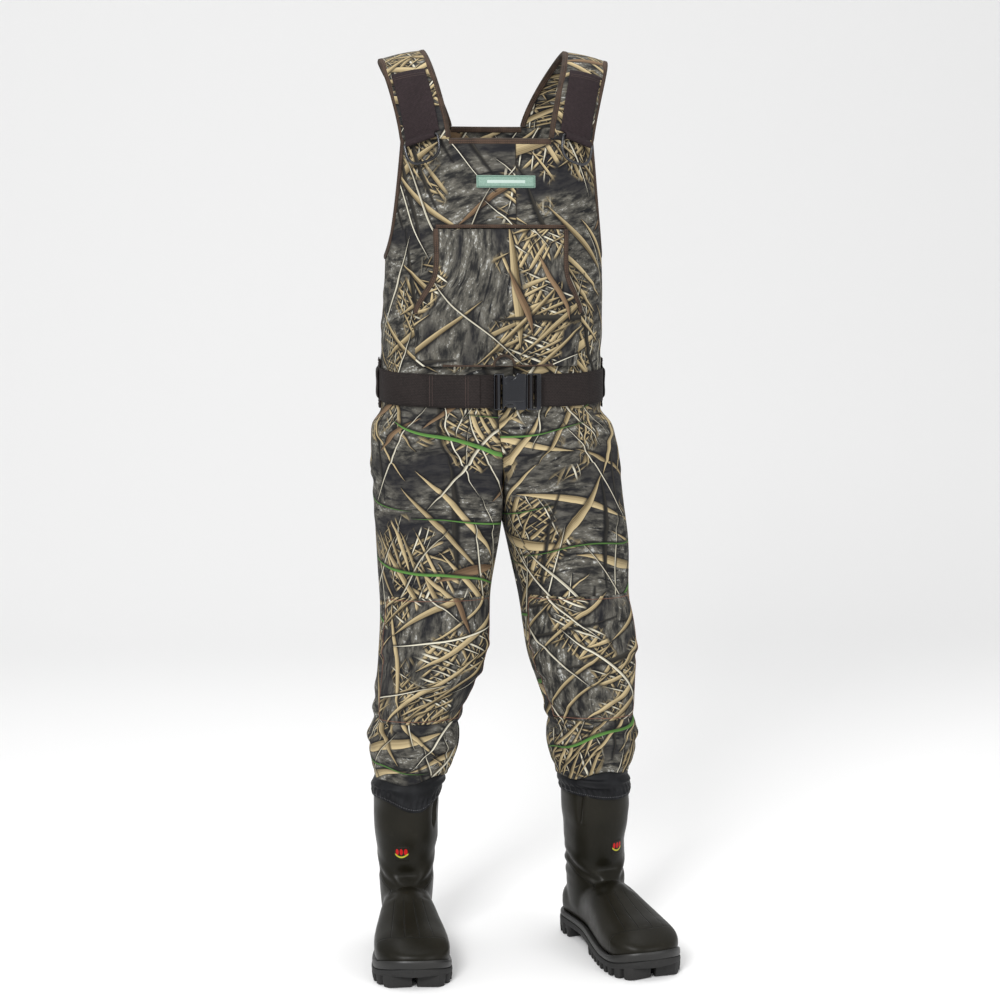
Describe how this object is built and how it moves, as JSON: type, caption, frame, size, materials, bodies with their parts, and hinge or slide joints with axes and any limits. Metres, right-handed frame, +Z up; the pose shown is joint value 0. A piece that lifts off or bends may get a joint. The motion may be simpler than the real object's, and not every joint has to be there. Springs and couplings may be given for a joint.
{
  "type": "chest waders",
  "caption": "Bootfoot chest waders in reed-print neoprene, with bib, shoulder straps, hand pocket, belt with side-release buckle, and rubber boots.",
  "frame": {"origin": "centre of the bounding box in X and Y, on the ground under the soles", "axes": "+Z up, the front of the waders faces -Y, the wearer's left is +X"},
  "size_m": [0.508, 0.4037, 1.505],
  "materials": {
    "camo_neoprene": "matte",
    "brown_binding": "matte",
    "brown_webbing": "matte",
    "black_cloth": "satin",
    "fleece": "matte",
    "black_plastic": "gloss",
    "dark_steel": "satin",
    "boot_rubber": "satin",
    "sole_rubber": "matte",
    "label_cloth": "matte",
    "badge_print": "satin",
    "footbed": "matte"
  },
  "bodies": {
    "waders": {"bib_front_panel": "camo_neoprene", "bib_back_panel": "camo_neoprene", "right_hip_panel": "camo_neoprene", "left_hip_panel": "camo_neoprene", "right_leg": "camo_neoprene", "left_leg": "camo_neoprene", "right_knee_pad": "camo_neoprene", "left_knee_pad": "camo_neoprene", "right_shoulder_strap": "camo_neoprene", "left_shoulder_strap": "camo_neoprene", "pocket_pouch": "camo_neoprene", "waist_tab": "camo_neoprene", "chest_top_binding": "brown_binding", "back_top_binding": "brown_binding", "right_neck_binding": "brown_binding", "left_neck_binding": "brown_binding", "right_armhole_binding": "brown_binding", "left_armhole_binding": "brown_binding", "right_pocket_binding": "brown_binding", "left_pocket_binding": "brown_binding", "pocket_top_tape": "brown_binding", "waist_tab_binding": "brown_binding", "belt_webbing": "brown_webbing", "right_belt_loop": "brown_webbing", "left_belt_loop": "brown_webbing", "back_belt_loop": "brown_webbing", "belt_fixed_fold": "brown_webbing", "right_cuff": "black_cloth", "left_cuff": "black_cloth", "pocket_fleece_lining": "fleece", "buckle_socket": "black_plastic", "right_boot_foot": "boot_rubber", "left_boot_foot": "boot_rubber", "right_boot_shaft": "boot_rubber", "left_boot_shaft": "boot_rubber", "right_foot_foxing": "boot_rubber", "left_foot_foxing": "boot_rubber", "right_heel_ledge": "boot_rubber", "left_heel_ledge": "boot_rubber", "right_outsole": "sole_rubber", "left_outsole": "sole_rubber", "chest_label": "label_cloth", "right_boot_badge": "badge_print", "left_boot_badge": "badge_print", "right_insole": "footbed", "left_insole": "footbed"},
    "right_band": {"right_strap_band": "brown_webbing", "right_ring_keeper": "brown_webbing"},
    "left_band": {"left_strap_band": "brown_webbing", "left_ring_keeper": "brown_webbing"},
    "right_ring": {"right_d_ring": "dark_steel"},
    "left_ring": {"left_d_ring": "dark_steel"},
    "plug": {"buckle_plug": "black_plastic", "belt_adjuster_fold": "brown_webbing"},
    "upper_prong": {"upper_release_prong": "black_plastic"},
    "lower_prong": {"lower_release_prong": "black_plastic"}
  },
  "joints": [
    {"name": "right_band_peel", "type": "hinge", "parent": "waders", "child": "right_band", "pos_m": [-0.18776, 0.00279, 1.46299], "axis": [-0.9239, 0.345, -0.1654], "range_deg": [0, 70]},
    {"name": "right_ring_swing", "type": "hinge", "parent": "right_band", "child": "right_ring", "pos_m": [-0.17016, -0.03909, 1.35286], "axis": [-0.8308, 0.4844, -0.2742], "range_deg": [0, 140]},
    {"name": "left_band_peel", "type": "hinge", "parent": "waders", "child": "left_band", "pos_m": [0.1021, 0.00279, 1.46299], "axis": [-0.9239, -0.345, 0.1654], "range_deg": [0, 70]},
    {"name": "left_ring_swing", "type": "hinge", "parent": "left_band", "child": "left_ring", "pos_m": [0.0845, -0.03909, 1.35286], "axis": [-0.8308, -0.4844, 0.2742], "range_deg": [0, 140]},
    {"name": "buckle_slide", "type": "slide", "parent": "waders", "child": "plug", "axis": [1, 0, 0], "range_m": [0, 0.035]},
    {"name": "upper_prong_press", "type": "hinge", "parent": "plug", "child": "upper_prong", "pos_m": [-0.0025, -0.06451, 0.96818], "axis": [0, -1, 0], "range_deg": [0, 5], "stiffness_Nm_per_rad": 0.4},
    {"name": "lower_prong_press", "type": "hinge", "parent": "plug", "child": "lower_prong", "pos_m": [-0.0025, -0.06451, 0.92718], "axis": [0, 1, 0], "range_deg": [0, 5], "stiffness_Nm_per_rad": 0.4}
  ]
}
